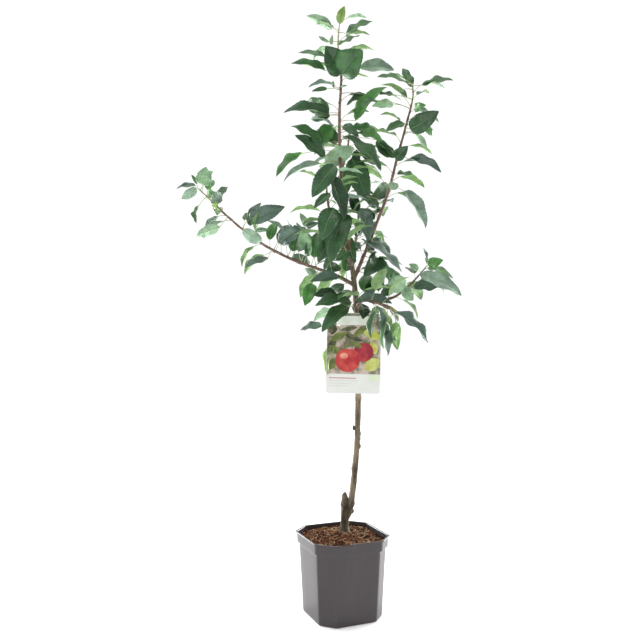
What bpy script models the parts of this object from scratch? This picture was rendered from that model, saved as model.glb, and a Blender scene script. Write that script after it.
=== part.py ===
"""A young apple tree in a square nursery pot: trunk with its leader, boughs, foliage masses, compost, pot and a hanging card.

Metres, +Z up. The origin is the centre of the pot's flat underside. The side that shows in the usual view faces -Y.
"""

import math
import random

import bmesh
import bpy
import numpy as np
from mathutils import Matrix, Vector

MM = 0.001
GAP = 0.0004  # between neighbouring pieces

# Pot: square with cut corners, measured across its flats
POT_HEIGHT = 0.177
POT_LIP = 0.180
POT_BAND_TOP = 0.1745
POT_BAND_FOOT = 0.1725
POT_BODY_TOP = 0.1645
POT_BODY_FOOT = 0.1500
POT_BASE = 0.1430
POT_FLAT = 0.623  # length of a flat side, as a part of the width
POT_BAND_HEIGHT = 0.0235
POT_WALL = 0.0014
POT_TURN = math.radians(22.8)
POT_CORNER = 0.035  # how far each corner is rounded, as a part of the flat
NOTCH_WIDTH = 0.026
NOTCH_HEIGHT = 0.0045

# Compost
COMPOST_TOP = 0.1708
COMPOST_FALL = 0.0045
COMPOST_LEVEL_RADIUS = 0.022

# Stem
GROUND = COMPOST_TOP + GAP
FLARE = 0.0125
ROOTSTOCK = 0.0088
STUB_TOP = 0.258
STEM = 0.0066
TIP_RADIUS = 0.0010

# Card
CARD_WIDTH = 0.118
CARD_HEIGHT = 0.176
CARD_THICK = 0.0009
CARD_CORNER = 0.005
CARD_CENTRE = Vector((0.0245, -0.0160, 0.5745))
STRAP_WIDTH = 0.0200
STRAP_SPAN = 0.0720
STRAP_THICK = 0.0006
SLOT = 0.0075
STRAP_DROP = 0.0165  # from the card's top edge to the middle of the strap


# ------------------------------------------------------------------ scene

def clear_scene():
    for obj in list(bpy.data.objects):
        bpy.data.objects.remove(obj, do_unlink=True)
    for group in list(bpy.data.collections):
        bpy.data.collections.remove(group)


clear_scene()
parts = bpy.data.collections.new("potted_apple_tree")
cutters = bpy.data.collections.new("cutters")
for group in (parts, cutters):
    bpy.context.scene.collection.children.link(group)


def material(name, colour, rough, metallic=0.0):
    found = bpy.data.materials.get(name)
    if found:
        return found
    made = bpy.data.materials.new(name)
    made.use_nodes = True
    shader = made.node_tree.nodes["Principled BSDF"]
    shader.inputs["Base Color"].default_value = (*colour, 1.0)
    shader.inputs["Roughness"].default_value = rough
    shader.inputs["Metallic"].default_value = metallic
    made.diffuse_color = (*colour, 1.0)
    return made


PLASTIC = material("pot_plastic", (0.085, 0.066, 0.068), 0.35)
SOIL = material("bark_compost", (0.12, 0.045, 0.022), 0.95)
BARK = material("stem_bark", (0.19, 0.145, 0.095), 0.8)
SHOOT = material("shoot_bark", (0.17, 0.10, 0.07), 0.6)
LEAF = material("leaf_green", (0.055, 0.15, 0.055), 0.5)
CARD = material("card_print", (0.80, 0.80, 0.74), 0.35)
STRAP = material("strap_white", (0.85, 0.87, 0.82), 0.3)


def keep(name, mesh, finish, group=parts):
    obj = bpy.data.objects.new(name, mesh)
    group.objects.link(obj)
    if finish:
        mesh.materials.append(finish)
    return obj


def hide(obj):
    obj.hide_render = True
    obj.display_type = "WIRE"
    return obj


def cut(obj, cutter, name, operation="DIFFERENCE"):
    mod = obj.modifiers.new(name, "BOOLEAN")
    mod.operation = operation
    mod.solver = "EXACT"
    mod.object = cutter
    return mod


def mesh_of(bm, name):
    bmesh.ops.recalc_face_normals(bm, faces=bm.faces[:])
    mesh = bpy.data.meshes.new(name)
    bm.to_mesh(mesh)
    bm.free()
    return mesh


def smooth(obj, degrees=40):
    obj.data.shade_smooth()
    obj.data.set_sharp_from_angle(angle=math.radians(degrees))
    return obj


# -------------------------------------------------------------------- pot

def octagon(width, z, turn=POT_TURN, corner=POT_CORNER):
    """The eight corners of a section, each rounded into two points, anticlockwise from the front face's right end."""
    half, flat = width / 2, width * POT_FLAT / 2
    corners = [
        (flat, -half), (half, -flat), (half, flat), (flat, half),
        (-flat, half), (-half, flat), (-half, -flat), (-flat, -half),
    ]
    corners = [Vector(c) for c in corners]
    points = []
    for i, at in enumerate(corners):
        back = (corners[i - 1] - at).normalized()
        on = (corners[(i + 1) % 8] - at).normalized()
        reach = width * corner / 2
        points += [at + back * reach, at + on * reach]
    spin = Matrix.Rotation(turn, 2)
    return [Vector((*(spin @ p), z)) for p in points]


def loft(name, sections, finish, group=parts):
    """A closed solid through rings of equal count, from its first ring, which is capped, to its last, which is capped too."""
    bm = bmesh.new()
    rings = [[bm.verts.new(p) for p in ring] for ring in sections]
    bm.faces.new(rings[0])
    bm.faces.new(rings[-1])
    count = len(rings[0])
    for low, high in zip(rings, rings[1:]):
        for i in range(count):
            j = (i + 1) % count
            bm.faces.new((low[i], low[j], high[j], high[i]))
    return keep(name, mesh_of(bm, name), finish, group)


def body_width(z):
    share = (z - 0.004) / (POT_HEIGHT - POT_BAND_HEIGHT - 0.004)
    return POT_BODY_FOOT + (POT_BODY_TOP - POT_BODY_FOOT) * share


def inner_width(z):
    """Across the inside: the wall follows the body, and steps out behind the band."""
    if z > POT_HEIGHT - POT_BAND_HEIGHT:
        return POT_BAND_FOOT - 2 * POT_WALL + (POT_BAND_TOP - POT_BAND_FOOT) * (
            z - POT_HEIGHT + POT_BAND_HEIGHT
        ) / POT_BAND_HEIGHT
    return body_width(z) - 2 * POT_WALL


step = POT_HEIGHT - POT_BAND_HEIGHT
floor_z = 0.0030
outer = [
    (POT_BASE, 0.0),
    (POT_BASE + 0.0035, 0.0005),
    (POT_BODY_FOOT, 0.0045),
    (body_width(0.0900), 0.0900),
    (body_width(step), step),
    (POT_BAND_FOOT, step + 0.0008),
    (POT_BAND_TOP, POT_HEIGHT - 0.0034),
    (POT_LIP - 0.0006, POT_HEIGHT - 0.0026),
    (POT_LIP, POT_HEIGHT - 0.0016),
    (POT_LIP - 0.0008, POT_HEIGHT),
]
inner = [
    (inner_width(POT_HEIGHT) - 0.0004, POT_HEIGHT),
    (inner_width(POT_HEIGHT - 0.003), POT_HEIGHT - 0.003),
    (inner_width(step + 0.0012), step + 0.0012),
    (inner_width(step - 0.0006), step - 0.0006),
    (inner_width(0.0900), 0.0900),
    (inner_width(0.0060), 0.0060),
    (POT_BASE - 2 * POT_WALL, floor_z),
]
pot = loft("pot", [octagon(w, z) for w, z in outer + inner], PLASTIC)


def box_cutter(name, size, at, turn):
    bm = bmesh.new()
    bmesh.ops.create_cube(bm, size=1.0)
    bmesh.ops.scale(bm, vec=size, verts=bm.verts[:])
    bmesh.ops.rotate(bm, matrix=Matrix.Rotation(turn, 3, "Z"), verts=bm.verts[:])
    bmesh.ops.translate(bm, vec=at, verts=bm.verts[:])
    return hide(keep(name, mesh_of(bm, name), None, cutters))


def notches():
    """Drain notches through the foot of the wall: one in the middle of the front and back faces, two in each side face."""
    spots = []
    for quarter in range(4):
        shifts = (0.0,) if quarter % 2 == 0 else (-0.024, 0.024)
        for shift in shifts:
            spots.append((quarter, shift))
    for i, (quarter, shift) in enumerate(spots):
        turn = POT_TURN + quarter * math.pi / 2
        out, along = Vector((math.sin(turn), -math.cos(turn), 0)), Vector((math.cos(turn), math.sin(turn), 0))
        wide = NOTCH_WIDTH if quarter % 2 == 0 else NOTCH_WIDTH * 0.5
        at = out * (POT_BODY_FOOT / 2) + along * shift
        at.z = 0.0010
        cutter = box_cutter(f"notch_cutter_{i}", Vector((wide, 0.016, 2 * NOTCH_HEIGHT - 0.002)), at, turn)
        cut(pot, cutter, f"notch_{i}")


notches()


# ---------------------------------------------------------------- compost

def compost_height(x, y):
    """The top: level round the stem, then falling a little to the pot's sides, unevenly."""
    r = math.hypot(x, y - 0.035)
    fall = COMPOST_FALL * min(1.0, max(0.0, (r - COMPOST_LEVEL_RADIUS) / 0.075)) ** 1.2
    rough = 0.0007 * math.sin(61 * x + 1.3) * math.cos(73 * y - 0.4)
    return COMPOST_TOP - fall + rough * min(1.0, max(0.0, (r - COMPOST_LEVEL_RADIUS) / 0.02))


def make_compost():
    clear = 2 * (GAP + 0.0002)
    levels = [0.0062, 0.0900, step - 0.0014]
    sections = [octagon(POT_BASE - 2 * POT_WALL - 0.002, floor_z + GAP)]
    sections += [octagon(inner_width(z) - clear, z) for z in levels]
    sections.append(octagon(inner_width(step - 0.001) - clear, 0.1640))
    centre = Vector((0.0, 0.035, 0.0))
    for share in (1.0, 0.72, 0.45, 0.22):
        ring = []
        for p in octagon(inner_width(step - 0.001) - clear, 0.0):
            q = centre + (p - centre) * share if share < 1.0 else p
            ring.append(Vector((q.x, q.y, compost_height(q.x, q.y))))
        sections.append(ring)
    last = sections[-1]
    for p in last:
        p.z = COMPOST_TOP
    return loft("compost", sections, SOIL)


compost = make_compost()


# ------------------------------------------------------------------ limbs

def through(points, steps=5):
    """A smooth run of (x, y, z, radius) through the given stations."""
    pts = [np.array(p, float) for p in points]
    pts = [2 * pts[0] - pts[1]] + pts + [2 * pts[-1] - pts[-2]]
    run = []
    for a, b, c, d in zip(pts, pts[1:], pts[2:], pts[3:]):
        for i in range(steps):
            t = i / steps
            run.append(
                0.5 * (2 * b + (c - a) * t + (2 * a - 5 * b + 4 * c - d) * t * t
                       + (3 * b - a - 3 * c + d) * t ** 3)
            )
    run.append(pts[-2])
    return [(Vector(p[:3]), max(float(p[3]), TIP_RADIUS)) for p in run]


def wavy(run, amount, seed):
    """Slight bends and swellings at the nodes, as a grown shoot has."""
    turn = random.Random(seed)
    a, b = turn.uniform(0, 6), turn.uniform(0, 6)
    out = []
    for i, (p, r) in enumerate(run):
        ends = min(i, len(run) - 1 - i, 3) / 3
        shift = Vector((math.sin(2.1 * i + a), math.cos(1.7 * i + b), 0)) * amount * ends
        out.append((p + shift, r * (1 + 0.05 * math.sin(2.6 * i + a))))
    return out


def tube(name, run, extra=0.0, sides=8, finish=None, group=parts, ends=0.0):
    """A tapering limb with filled caps, made a mesh so that it can be cut and joined."""
    base = max(r for _, r in run)
    curve = bpy.data.curves.new(name, "CURVE")
    curve.dimensions = "3D"
    curve.bevel_depth = base
    curve.bevel_resolution = (sides - 4) // 2
    curve.use_fill_caps = True
    spline = curve.splines.new("POLY")
    points = [(p.copy(), r + extra) for p, r in run]
    if ends:
        points[0] = (points[0][0] + (points[0][0] - points[1][0]).normalized() * ends, points[0][1])
        points[-1] = (points[-1][0] + (points[-1][0] - points[-2][0]).normalized() * ends, points[-1][1])
    spline.points.add(len(points) - 1)
    for spot, (p, r) in zip(spline.points, points):
        spot.co = (*p, 1.0)
        spot.radius = r / base
    made = bpy.data.objects.new(name + "_curve", curve)
    bpy.context.scene.collection.objects.link(made)
    bpy.context.view_layer.update()
    graph = bpy.context.evaluated_depsgraph_get()
    mesh = bpy.data.meshes.new_from_object(made.evaluated_get(graph))
    mesh.name = name
    bm = bmesh.new()
    bm.from_mesh(mesh)
    bmesh.ops.remove_doubles(bm, verts=bm.verts[:], dist=1e-6)
    bmesh.ops.recalc_face_normals(bm, faces=bm.faces[:])
    bm.to_mesh(mesh)
    bm.free()
    mesh.materials.clear()
    obj = keep(name, mesh, finish, group)
    obj.matrix_world = made.matrix_world
    bpy.data.objects.remove(made, do_unlink=True)
    bpy.data.curves.remove(curve)
    return obj


def mm(*rows):
    return [tuple(v * MM for v in row) for row in rows]


# The scion: it leaves the rootstock's right side, bows out, and runs up to the tip as the leader.
leader = wavy(
    through(
        mm(
            (8, 34, 196, 5.5), (17, 31, 218, 7.4), (24, 27, 262, 7.2), (32, 20, 345, 6.8),
            (35.5, 13, 434, 6.5), (35.5, 5, 580, 6.1), (28, 0, 715, 5.7), (14, 0, 820, 4.6),
            (-2, 0, 952, 3.8), (-6, 2, 1090, 3.2), (-2, 0, 1188, 2.6), (-9, 0, 1252, 1.7),
            (-6, 0, 1302, 1.0),
        ),
        steps=4,
    ),
    0.0006,
    7,
)
rootstock = through(
    [
        (0.0062, 0.0350, GROUND - 0.008, FLARE), (0.0062, 0.0350, GROUND + 0.004, FLARE * 0.92),
        (0.0064, 0.0350, GROUND + 0.016, ROOTSTOCK * 1.06), (0.0072, 0.0345, 0.215, ROOTSTOCK),
        (0.0070, 0.0345, STUB_TOP - 0.016, ROOTSTOCK * 0.86), (0.0066, 0.0350, STUB_TOP, ROOTSTOCK * 0.52),
    ],
    steps=2,
)

ground_cutter = box_cutter("ground_cutter", Vector((0.1, 0.1, 0.05)), Vector((0.006, 0.035, GROUND - 0.025)), 0.0)


def make_trunk(name, extra, finish, group):
    trunk = tube(name, leader, extra, 10, finish, group, ends=extra)
    foot = hide(tube(name + "_rootstock", rootstock, extra, 10, None, cutters))
    cut(trunk, foot, "rootstock", "UNION")
    for i, (at, size) in enumerate(
        (
            ((0.0235, 0.031, 0.218), 0.0045),
            ((0.0385, 0.016, 0.366), 0.0042),
            ((0.0265, 0.014, 0.407), 0.0036),
        )
    ):
        bm = bmesh.new()
        bmesh.ops.create_icosphere(bm, subdivisions=1, radius=size + extra)
        bmesh.ops.translate(bm, vec=at, verts=bm.verts[:])
        knot = hide(keep(f"{name}_knot_{i}", mesh_of(bm, f"{name}_knot_{i}"), None, cutters))
        cut(trunk, knot, f"knot_{i}", "UNION")
    return trunk


trunk = make_trunk("trunk", 0.0, BARK, parts)
cut(trunk, ground_cutter, "ground_cut")
trunk_clear = hide(make_trunk("trunk_clear", GAP, None, cutters))

BOUGHS = {
    # name: stations in mm, (x, y, z, radius), from the stem outwards
    "bough_left": ((27, 0, 728, 3.6), (-18, 8, 748, 3.4), (-112, 24, 783, 3.0), (-190, 40, 826, 2.6),
                   (-252, 52, 876, 2.2), (-300, 60, 922, 1.6)),
    "bough_right": ((28, 0, 742, 4.0), (46, -3, 785, 3.8), (70, -8, 845, 3.5), (100, -14, 926, 3.2),
                    (120, -18, 1002, 2.8), (140, -20, 1076, 2.4), (153, -20, 1128, 2.0), (153, -20, 1150, 1.5)),
    "bough_lower_right": ((32, 2, 690, 3.0), (62, 14, 692, 2.8), (112, 36, 696, 2.5), (150, 50, 722, 2.1),
                          (176, 58, 748, 1.6)),
    "bough_front_right": ((33, 0, 680, 3.0), (44, -30, 688, 2.8), (64, -64, 686, 2.5), (92, -96, 674, 2.0),
                          (112, -116, 662, 1.5)),
    "bough_front_left": ((22, -2, 768, 3.2), (2, -34, 800, 3.0), (-22, -74, 846, 2.6), (-34, -108, 902, 2.1),
                         (-36, -124, 946, 1.5)),
    "bough_back": ((19, 2, 778, 3.4), (28, 48, 812, 3.1), (40, 96, 866, 2.7), (42, 138, 930, 2.2),
                   (36, 164, 990, 1.5)),
    "bough_back_high": ((-3, 2, 972, 2.6), (6, 38, 1006, 2.4), (16, 72, 1052, 2.0), (20, 94, 1100, 1.4)),
}
LIMB_RUNS = {"trunk": leader}
limb_clear = {"trunk": trunk_clear}
for number, (name, stations) in enumerate(BOUGHS.items()):
    run = wavy(through(mm(*stations), steps=3), 0.0007, 20 + number)
    LIMB_RUNS[name] = run
    bough = tube(name, run, 0.0, 8, SHOOT)
    cut(bough, trunk_clear, "off_trunk")
    smooth(bough, 60)
    limb_clear[name] = hide(tube(name + "_clear", run, GAP, 8, None, cutters, ends=2 * GAP))
smooth(trunk, 60)


# ------------------------------------------------------------ foliage masses

MASSES = {
    # name: (centre, half sizes, furthest leaf tips, (limb, height on it) that it grows from), in mm
    "foliage_crown_tip": ((-3, 0, 1290), (56, 46, 36),
                          ((-78, 5, 1319), (64, -8, 1313), (5, 0, 1340), (54, 12, 1247), (-52, -12, 1272),
                           (4, 58, 1300), (-14, -58, 1282)), ("trunk", 1290)),
    "foliage_crown_neck": ((2, 0, 1214), (62, 58, 32),
                           ((-113, 8, 1215), (-98, -12, 1239), (115, 6, 1198), (30, -70, 1228), (-24, 74, 1204),
                            (40, 56, 1232)), ("trunk", 1214)),
    "foliage_leader_left_high": ((-66, -8, 1112), (50, 36, 22),
                                 ((-130, 0, 1108), (-66, -34, 1088), (-70, 26, 1134)), ("trunk", 1096)),
    "foliage_leader_left_mid": ((-56, 0, 1044), (42, 40, 30),
                                ((-112, -8, 1078), (-104, 10, 1056), (-52, 4, 1008), (-46, -44, 1060)),
                                ("trunk", 1050)),
    "foliage_leader_left_low": ((-94, 10, 992), (34, 24, 20),
                                ((-146, 14, 963), (-132, 18, 954), (-80, 4, 1014)), ("trunk", 992)),
    "foliage_leader_right_high": ((56, -6, 1124), (32, 28, 34),
                                  ((96, -12, 1166), (30, -6, 1086), (94, 10, 1132)), ("trunk", 1100)),
    "foliage_leader_right_mid": ((54, 4, 1034), (40, 40, 40),
                                 ((87, -4, 980), (104, -8, 1011), (74, 8, 1066), (32, -34, 1050)),
                                 ("trunk", 1040)),
    "foliage_leader_front": ((12, -44, 968), (38, 30, 46),
                             ((52, -34, 914), (-30, -48, 996), (28, -50, 1012)), ("trunk", 968)),
    "foliage_right_tip": ((150, -20, 1160), (42, 38, 32),
                          ((79, -26, 1187), (134, -15, 1205), (244, -26, 1180), (184, -8, 1123), (150, 30, 1170),
                           (146, -66, 1150)), ("bough_right", 1150)),
    "foliage_right_high": ((160, -22, 1082), (40, 38, 30),
                           ((210, -32, 1111), (200, -8, 1052), (188, -15, 1026), (98, -20, 1060), (150, 26, 1090)),
                           ("bough_right", 1080)),
    "foliage_right_mid": ((140, -16, 1002), (40, 34, 26),
                          ((218, -20, 975), (172, -4, 957), (86, -22, 1031), (120, 24, 1010)),
                          ("bough_right", 1002)),
    "foliage_right_low": ((150, -15, 890), (22, 16, 28),
                          ((187, -20, 850), (132, -12, 930)), ("bough_right", 928)),
    "foliage_centre_right": ((70, 2, 930), (32, 30, 26),
                             ((98, -6, 957), (46, 8, 902), (70, 36, 930)), ("bough_right", 905)),
    "foliage_front_left_high": ((-36, -84, 934), (38, 36, 42),
                                ((-64, -78, 900), (-44, -108, 984), (6, -70, 886), (-70, -90, 950)),
                                ("bough_front_left", 930)),
    "foliage_front_left_low": ((-30, -62, 836), (32, 34, 48),
                               ((-44, -60, 776), (-60, -60, 866), (-10, -84, 800)), ("bough_front_left", 830)),
    "foliage_centre_low": ((66, -34, 796), (40, 34, 50),
                           ((128, -34, 756), (54, -48, 866), (92, -30, 746)), ("bough_right", 800)),
    "foliage_fork_left": ((-46, -30, 724), (40, 30, 26),
                          ((-80, -34, 682), (-84, -16, 756), (-14, -34, 744)), ("bough_left", 742)),
    "foliage_label_left": ((-34, -40, 664), (38, 26, 24),
                           ((-92, -44, 625), (-50, -50, 622), (-56, -28, 698)), ("trunk", 682)),
    "foliage_front_right": ((84, -80, 664), (46, 40, 22),
                            ((176, -96, 601), (92, -74, 574), (112, -88, 608), (60, -116, 676)),
                            ("bough_front_right", 676)),
    "foliage_lower_right_tip": ((204, 62, 750), (42, 38, 30),
                                ((276, 60, 706), (254, 66, 745), (231, 60, 783), (188, 60, 813), (157, 60, 692),
                                 (204, 108, 742)), ("bough_lower_right", 744)),
    "foliage_lower_right_mid": ((118, 44, 724), (28, 26, 22),
                                ((92, 42, 712), (132, 40, 748)), ("bough_lower_right", 700)),
    "foliage_left_inner": ((-118, 22, 842), (32, 24, 20),
                           ((-168, 26, 868), (-84, 20, 852), (-140, 20, 822)), ("bough_left", 784)),
    "foliage_left_mid": ((-178, 44, 876), (32, 24, 22),
                         ((-130, 42, 904), (-209, 42, 874), (-166, 40, 830)), ("bough_left", 836)),
    "foliage_left_under": ((-190, 40, 782), (28, 18, 10),
                           ((-218, 38, 769), (-166, 40, 789)), ("bough_left", 800)),
    "foliage_left_tip": ((-318, 62, 926), (38, 36, 34),
                         ((-379, 62, 949), (-314, 62, 997), (-343, 64, 980), (-332, 60, 869), (-331, 62, 836),
                          (-364, 62, 926), (-274, 60, 927), (-318, 108, 930), (-310, 20, 925)),
                         ("bough_left", 915)),
    "foliage_back_left": ((-70, 72, 834), (30, 30, 36),
                          ((-95, 76, 892), (-50, 74, 868), (-44, 82, 796)), ("bough_left", 770)),
    "foliage_back_low": ((52, 104, 838), (42, 40, 38),
                         ((92, 118, 826), (20, 130, 812), (66, 66, 812)), ("bough_back", 850)),
    "foliage_back_high": ((34, 160, 960), (42, 38, 46),
                          ((72, 178, 986), (30, 212, 950), (8, 172, 1010), (40, 168, 1030)),
                          ("bough_back", 950)),
    "foliage_back_upper": ((20, 90, 1074), (38, 38, 40),
                           ((48, 104, 1108), (10, 142, 1080), (4, 96, 1128)), ("bough_back_high", 1070)),
    "foliage_back_mid": ((-22, 92, 920), (34, 34, 36),
                         ((-40, 120, 952), (-30, 132, 902), (10, 84, 884)), ("trunk", 910)),
}


def on_limb(limb, z):
    """The point of a limb's middle line at a height."""
    run = LIMB_RUNS[limb]
    return min((p for p, _ in run), key=lambda p: abs(p.z - z))


def unit_ball():
    bm = bmesh.new()
    bmesh.ops.create_icosphere(bm, subdivisions=2, radius=1.0)
    return bm


def mass_radius(way, half, leaf_tips, lumps):
    """How far the surface is from the centre along a unit vector: an uneven ellipsoid with a spur to each leaf tip."""
    base = 1.0 / math.sqrt(sum((way[i] / half[i]) ** 2 for i in range(3)))
    swell = sum(size * max(0.0, way.dot(lump)) ** 6 for lump, size in lumps)
    reach = base * (0.80 + swell)
    for tip in leaf_tips:
        length = tip.length
        near = max(0.0, way.dot(tip / length))
        reach = max(reach, length * near ** 14)
    return reach


def make_mass(name, centre, half, tips, root, others):
    turn = random.Random(name)
    lumps = []
    for _ in range(7):
        lump = Vector([turn.gauss(0, 1) for _ in range(3)]).normalized()
        lumps.append((lump, turn.uniform(0.15, 0.42)))
    tips = [tip - centre for tip in tips]
    spurs = tips + ([root - centre] if (root - centre).length > min(half) else [])
    bm = unit_ball()
    ways = [v.co.normalized() for v in bm.verts]
    reach = [mass_radius(w, half, spurs, lumps) * turn.uniform(0.95, 1.05) for w in ways]
    for tip in spurs:  # the nearest vertex is drawn out to the tip itself
        nearest = max(range(len(ways)), key=lambda i: ways[i].dot(tip.normalized()))
        ways[nearest] = tip.normalized()
        reach[nearest] = tip.length
    mean = (half[0] * half[1] * half[2]) ** (1 / 3)
    for other, its_mean in others:
        apart = other - centre
        length = apart.length
        plane = (length ** 2 + mean ** 2 - its_mean ** 2) / (2 * length) - GAP
        for i, way in enumerate(ways):
            towards = way.dot(apart) / length
            if towards > 1e-6:
                reach[i] = min(reach[i], plane / towards)
    for vert, way, far in zip(bm.verts, ways, reach):
        vert.co = centre + way * far
    mesh = mesh_of(bm, name)
    obj = keep(name, mesh, LEAF)
    thin = obj.modifiers.new("fewer_faces", "DECIMATE")
    thin.ratio = 0.80
    return obj


card_low = CARD_CENTRE - Vector((CARD_WIDTH / 2 + 0.003, 0.0115, CARD_HEIGHT / 2 + 0.002))
card_high = CARD_CENTRE + Vector((CARD_WIDTH / 2 + 0.003, 0.0360, CARD_HEIGHT / 2 + 0.002))
card_clear = box_cutter("card_clear", card_high - card_low, (card_low + card_high) / 2, 0.0)

centres = {}
for name, (centre, half, tips, root) in MASSES.items():
    size = (half[0] * half[1] * half[2]) ** (1 / 3) * MM
    centres[name] = (Vector(centre) * MM, size)

for name, (centre, half, tips, (limb, height)) in MASSES.items():
    others = [row for key, row in centres.items() if key != name]
    obj = make_mass(
        name,
        Vector(centre) * MM,
        [h * MM for h in half],
        [Vector(t) * MM for t in tips],
        on_limb(limb, height * MM),
        others,
    )
    low = [min(v.co[i] for v in obj.data.vertices) for i in range(3)]
    high = [max(v.co[i] for v in obj.data.vertices) for i in range(3)]
    for key, run in LIMB_RUNS.items():
        inside = any(
            all(low[i] - r - GAP < p[i] < high[i] + r + GAP for i in range(3)) for p, r in run
        )
        if inside:
            cut(obj, limb_clear[key], "off_" + key)
    if all(low[i] < card_high[i] and high[i] > card_low[i] for i in range(3)):
        cut(obj, card_clear, "off_card")


# ------------------------------------------------------------------- card

def rounded_box(name, width, height, depth, corner, finish, group=parts):
    """An upright plate in the XZ plane with rounded corners: a filled 2D outline with an extrude, made a mesh."""
    curve = bpy.data.curves.new(name, "CURVE")
    curve.dimensions = "2D"
    curve.fill_mode = "BOTH"
    curve.extrude = depth / 2
    spline = curve.splines.new("POLY")
    points = []
    for q, (sx, sy) in enumerate(((1, 1), (-1, 1), (-1, -1), (1, -1))):
        for k in range(5):
            a = math.radians(90 * q + 22.5 * k)
            points.append(
                (
                    sx * (width / 2 - corner) + corner * math.cos(a),
                    sy * (height / 2 - corner) + corner * math.sin(a),
                )
            )
    spline.points.add(len(points) - 1)
    for spot, (x, y) in zip(spline.points, points):
        spot.co = (x, y, 0, 1)
    spline.use_cyclic_u = True
    made = bpy.data.objects.new(name + "_curve", curve)
    bpy.context.scene.collection.objects.link(made)
    bpy.context.view_layer.update()
    mesh = bpy.data.meshes.new_from_object(made.evaluated_get(bpy.context.evaluated_depsgraph_get()))
    bm = bmesh.new()
    bm.from_mesh(mesh)
    bmesh.ops.remove_doubles(bm, verts=bm.verts[:], dist=1e-6)
    bmesh.ops.rotate(bm, matrix=Matrix.Rotation(math.pi / 2, 3, "X"), verts=bm.verts[:])
    bpy.data.objects.remove(made, do_unlink=True)
    bpy.data.meshes.remove(mesh)
    bpy.data.curves.remove(curve)
    return keep(name, mesh_of(bm, name), finish, group)


card = rounded_box("hanging_card", CARD_WIDTH, CARD_HEIGHT, CARD_THICK, CARD_CORNER, CARD)
card.location = CARD_CENTRE
card.rotation_euler = (0, math.radians(1.2), 0)

strap_centre = CARD_CENTRE + Vector((0.0015, 0.0, CARD_HEIGHT / 2 - STRAP_DROP))
for i, side in enumerate((-1, 1)):
    at = strap_centre + Vector((side * (STRAP_SPAN / 2 - 0.0015), 0, 0))
    slot = box_cutter(f"slot_cutter_{i}", Vector((SLOT, 0.01, STRAP_WIDTH + 0.0040)), at, 0.0)
    cut(card, slot, f"slot_{i}")


def make_strap():
    """A band that bows in front of the card, passes through its two slots and closes round the stem behind it."""
    stem = min(leader, key=lambda row: abs(row[0].z - strap_centre.z))[0]
    rim = []
    for i in range(13):  # the bow in front of the card, from its left slot to its right one
        t = i / 12
        rim.append((-STRAP_SPAN / 2 + STRAP_SPAN * t, -0.0065 * math.sin(math.pi * t) ** 0.8 - 0.0))
    back = []
    reach = STEM + 0.0022
    for i in range(9):
        a = math.pi * i / 8
        back.append((stem.x - strap_centre.x + reach * math.cos(a), stem.y - strap_centre.y + reach * math.sin(a)))
    path = rim + [(STRAP_SPAN / 2 - 0.004, 0.0042)] + back + [(-STRAP_SPAN / 2 + 0.004, 0.0042)]
    bm = bmesh.new()
    rings = {}
    for k, sink in enumerate((-0.5, 0.5)):
        for level, z in enumerate((-STRAP_WIDTH / 2, STRAP_WIDTH / 2)):
            row = []
            for i, (x, y) in enumerate(path):
                before, after = path[i - 1], path[(i + 1) % len(path)]
                along = Vector((after[0] - before[0], after[1] - before[1])).normalized()
                out = Vector((along.y, -along.x)) * sink * STRAP_THICK
                row.append(bm.verts.new((strap_centre.x + x + out.x, strap_centre.y + y + out.y, strap_centre.z + z)))
            rings[k, level] = row
    count = len(path)
    for i in range(count):
        j = (i + 1) % count
        for a, b in (((0, 0), (0, 1)), ((0, 1), (1, 1)), ((1, 1), (1, 0)), ((1, 0), (0, 0))):
            bm.faces.new((rings[a][i], rings[a][j], rings[b][j], rings[b][i]))
    return keep("card_strap", mesh_of(bm, "card_strap"), STRAP)


make_strap()
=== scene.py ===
"""Looks of the potted apple tree: leaves, twigs, bark, compost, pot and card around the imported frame. Metres, +Z up."""
import math
import random

import bpy
import numpy as np
from mathutils import Matrix, Vector, noise


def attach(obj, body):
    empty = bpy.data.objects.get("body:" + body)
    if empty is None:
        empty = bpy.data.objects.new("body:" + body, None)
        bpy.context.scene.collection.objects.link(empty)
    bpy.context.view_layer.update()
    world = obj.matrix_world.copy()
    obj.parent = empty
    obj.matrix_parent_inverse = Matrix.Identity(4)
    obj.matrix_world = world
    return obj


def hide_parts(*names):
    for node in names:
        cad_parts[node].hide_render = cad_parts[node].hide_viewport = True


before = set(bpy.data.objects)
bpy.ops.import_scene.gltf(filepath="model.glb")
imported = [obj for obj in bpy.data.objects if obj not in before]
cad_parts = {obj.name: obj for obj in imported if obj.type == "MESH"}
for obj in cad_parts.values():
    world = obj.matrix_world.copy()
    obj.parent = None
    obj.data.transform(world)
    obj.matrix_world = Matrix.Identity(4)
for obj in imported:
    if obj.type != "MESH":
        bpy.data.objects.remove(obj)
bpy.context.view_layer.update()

FOCAL, DIST, CAM_X, CAM_Z = 752.0, 1.66, -0.049, 0.647
MM = 0.001


def at(px, py, y):
    """The point at depth y that the camera sees at this pixel of its 640 x 640 frame."""
    s = (DIST + y) / FOCAL
    return Vector((CAM_X + (px - 320) * s, y, CAM_Z - (py - 320) * s))


def seen(p):
    s = FOCAL / (DIST + p.y)
    return 320 + (p.x - CAM_X) * s, 320 - (p.z - CAM_Z) * s


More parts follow.
